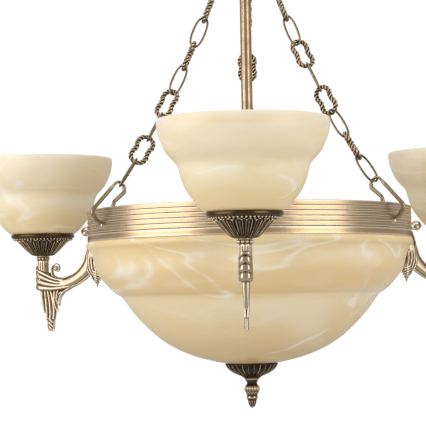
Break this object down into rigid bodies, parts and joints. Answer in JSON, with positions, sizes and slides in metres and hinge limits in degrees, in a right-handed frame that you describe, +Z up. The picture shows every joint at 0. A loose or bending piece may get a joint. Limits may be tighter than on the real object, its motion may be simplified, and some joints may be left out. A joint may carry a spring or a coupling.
{
  "type": "bowl chandelier",
  "caption": "Ceiling light: stem and chains carry a ribbed band with an alabaster glass bowl and cast arms with up-turned glass shades.",
  "frame": {"origin": "centre of the ceiling plate's upper face, where the light is fixed to the ceiling", "axes": "+Z up towards the ceiling along the stem, the light hangs down to negative Z; -Y towards the front arm, +X to the right of someone facing the front arm"},
  "size_m": [0.7402, 0.666, 0.9],
  "materials": {
    "satin_brass": "satin brushed antique brass, clear lacquered",
    "dark_brass": "cast brass with dark patina in the recesses, rubbed bright on the high spots",
    "alabaster_glass": "satin cream glass with cloudy white and amber veins",
    "lamp_opal": "opal white lamp globe",
    "zinc_steel": "bright zinc-plated steel",
    "holder_plastic": "cream heat-proof lampholder plastic",
    "terminal_plastic": "white moulded connection block",
    "lead_sheath": "pale flexible sheath",
    "gasket_rubber": "soft black rubber"
  },
  "bodies": {
    "root": {"arm_casting_front": "satin_brass", "arm_casting_left": "satin_brass", "arm_casting_right": "satin_brass", "arm_lampholders": "holder_plastic", "arm_leads": "lead_sheath", "arm_nipples": "zinc_steel", "band_clips": "dark_brass", "band_screws": "satin_brass", "bead_collars": "dark_brass", "bottom_cap": "dark_brass", "bowl_gaskets": "gasket_rubber", "bowl_glass": "alabaster_glass", "bowl_lampholders": "holder_plastic", "bowl_washer": "zinc_steel", "bracket_nipples": "zinc_steel", "bracket_spacer": "zinc_steel", "ceiling_plate": "zinc_steel", "centre_body": "zinc_steel", "chain_hub": "satin_brass", "cup_nuts": "zinc_steel", "fluted_cup_front": "dark_brass", "fluted_cup_left": "dark_brass", "fluted_cup_right": "dark_brass", "hickey_yoke": "zinc_steel", "hub_eyes": "satin_brass", "hub_screw": "satin_brass", "lamp_bracket": "zinc_steel", "lock_nut": "zinc_steel", "mount_nipple": "zinc_steel", "ring_band": "satin_brass", "rod_nuts": "zinc_steel", "shade_glass_front": "alabaster_glass", "shade_glass_left": "alabaster_glass", "shade_glass_right": "alabaster_glass", "shade_rings": "holder_plastic", "spider_frame": "zinc_steel", "stem_lead": "lead_sheath", "stem_nipple": "zinc_steel", "stem_tube": "satin_brass", "support_rod": "zinc_steel", "terminal_block": "terminal_plastic", "terminal_screws": "zinc_steel"},
    "canopy_group": {"canopy": "satin_brass", "canopy_collar": "satin_brass", "collar_screw": "satin_brass"},
    "chain_front_right": {"chain_plain_links_front_right": "dark_brass", "chain_twist_links_front_right": "dark_brass"},
    "chain_front_left": {"chain_plain_links_front_left": "dark_brass", "chain_twist_links_front_left": "dark_brass"},
    "chain_back": {"chain_plain_links_back": "dark_brass", "chain_twist_links_back": "dark_brass"},
    "finial_nut": {"finial": "dark_brass"},
    "lamp_arm_front": {"arm_lamp_front": "lamp_opal"},
    "lamp_arm_right": {"arm_lamp_right": "lamp_opal"},
    "lamp_arm_left": {"arm_lamp_left": "lamp_opal"},
    "lamp_bowl_front_right": {"bowl_lamp_front_right": "lamp_opal"},
    "lamp_bowl_front_left": {"bowl_lamp_front_left": "lamp_opal"},
    "lamp_bowl_back": {"bowl_lamp_back": "lamp_opal"}
  },
  "joints": [
    {"name": "canopy_slide", "type": "slide", "parent": "root", "child": "canopy_group", "axis": [0, 0, 1], "range_m": [-0.25, 0]},
    {"name": "chain_sway_front_right", "type": "hinge", "parent": "root", "child": "chain_front_right", "pos_m": [0.15086, -0.0871, -0.6257], "axis": [-0.4093, 0.2363, 0.8812], "range_deg": [-8, 8]},
    {"name": "chain_sway_front_left", "type": "hinge", "parent": "root", "child": "chain_front_left", "pos_m": [-0.15086, -0.0871, -0.6257], "axis": [0.4093, 0.2363, 0.8812], "range_deg": [-8, 8]},
    {"name": "chain_sway_back", "type": "hinge", "parent": "root", "child": "chain_back", "pos_m": [0, 0.1742, -0.6257], "axis": [0, -0.4727, 0.8812], "range_deg": [-8, 8]},
    {"name": "finial_unscrew", "type": "hinge", "parent": "root", "child": "finial_nut", "pos_m": [0, 0, -0.88], "axis": [0, 0, -1], "range_deg": [0, 1440]},
    {"name": "lamp_lift_arm_front", "type": "slide", "parent": "root", "child": "lamp_arm_front", "axis": [0, 0, 1], "range_m": [0, 0.025]},
    {"name": "lamp_lift_arm_right", "type": "slide", "parent": "root", "child": "lamp_arm_right", "axis": [0, 0, 1], "range_m": [0, 0.025]},
    {"name": "lamp_lift_arm_left", "type": "slide", "parent": "root", "child": "lamp_arm_left", "axis": [0, 0, 1], "range_m": [0, 0.025]},
    {"name": "lamp_pull_bowl_front_right", "type": "slide", "parent": "root", "child": "lamp_bowl_front_right", "axis": [0.866, -0.5, 0], "range_m": [0, 0.025]},
    {"name": "lamp_pull_bowl_front_left", "type": "slide", "parent": "root", "child": "lamp_bowl_front_left", "axis": [-0.866, -0.5, 0], "range_m": [0, 0.025]},
    {"name": "lamp_pull_bowl_back", "type": "slide", "parent": "root", "child": "lamp_bowl_back", "axis": [0, 1, 0], "range_m": [0, 0.025]}
  ]
}
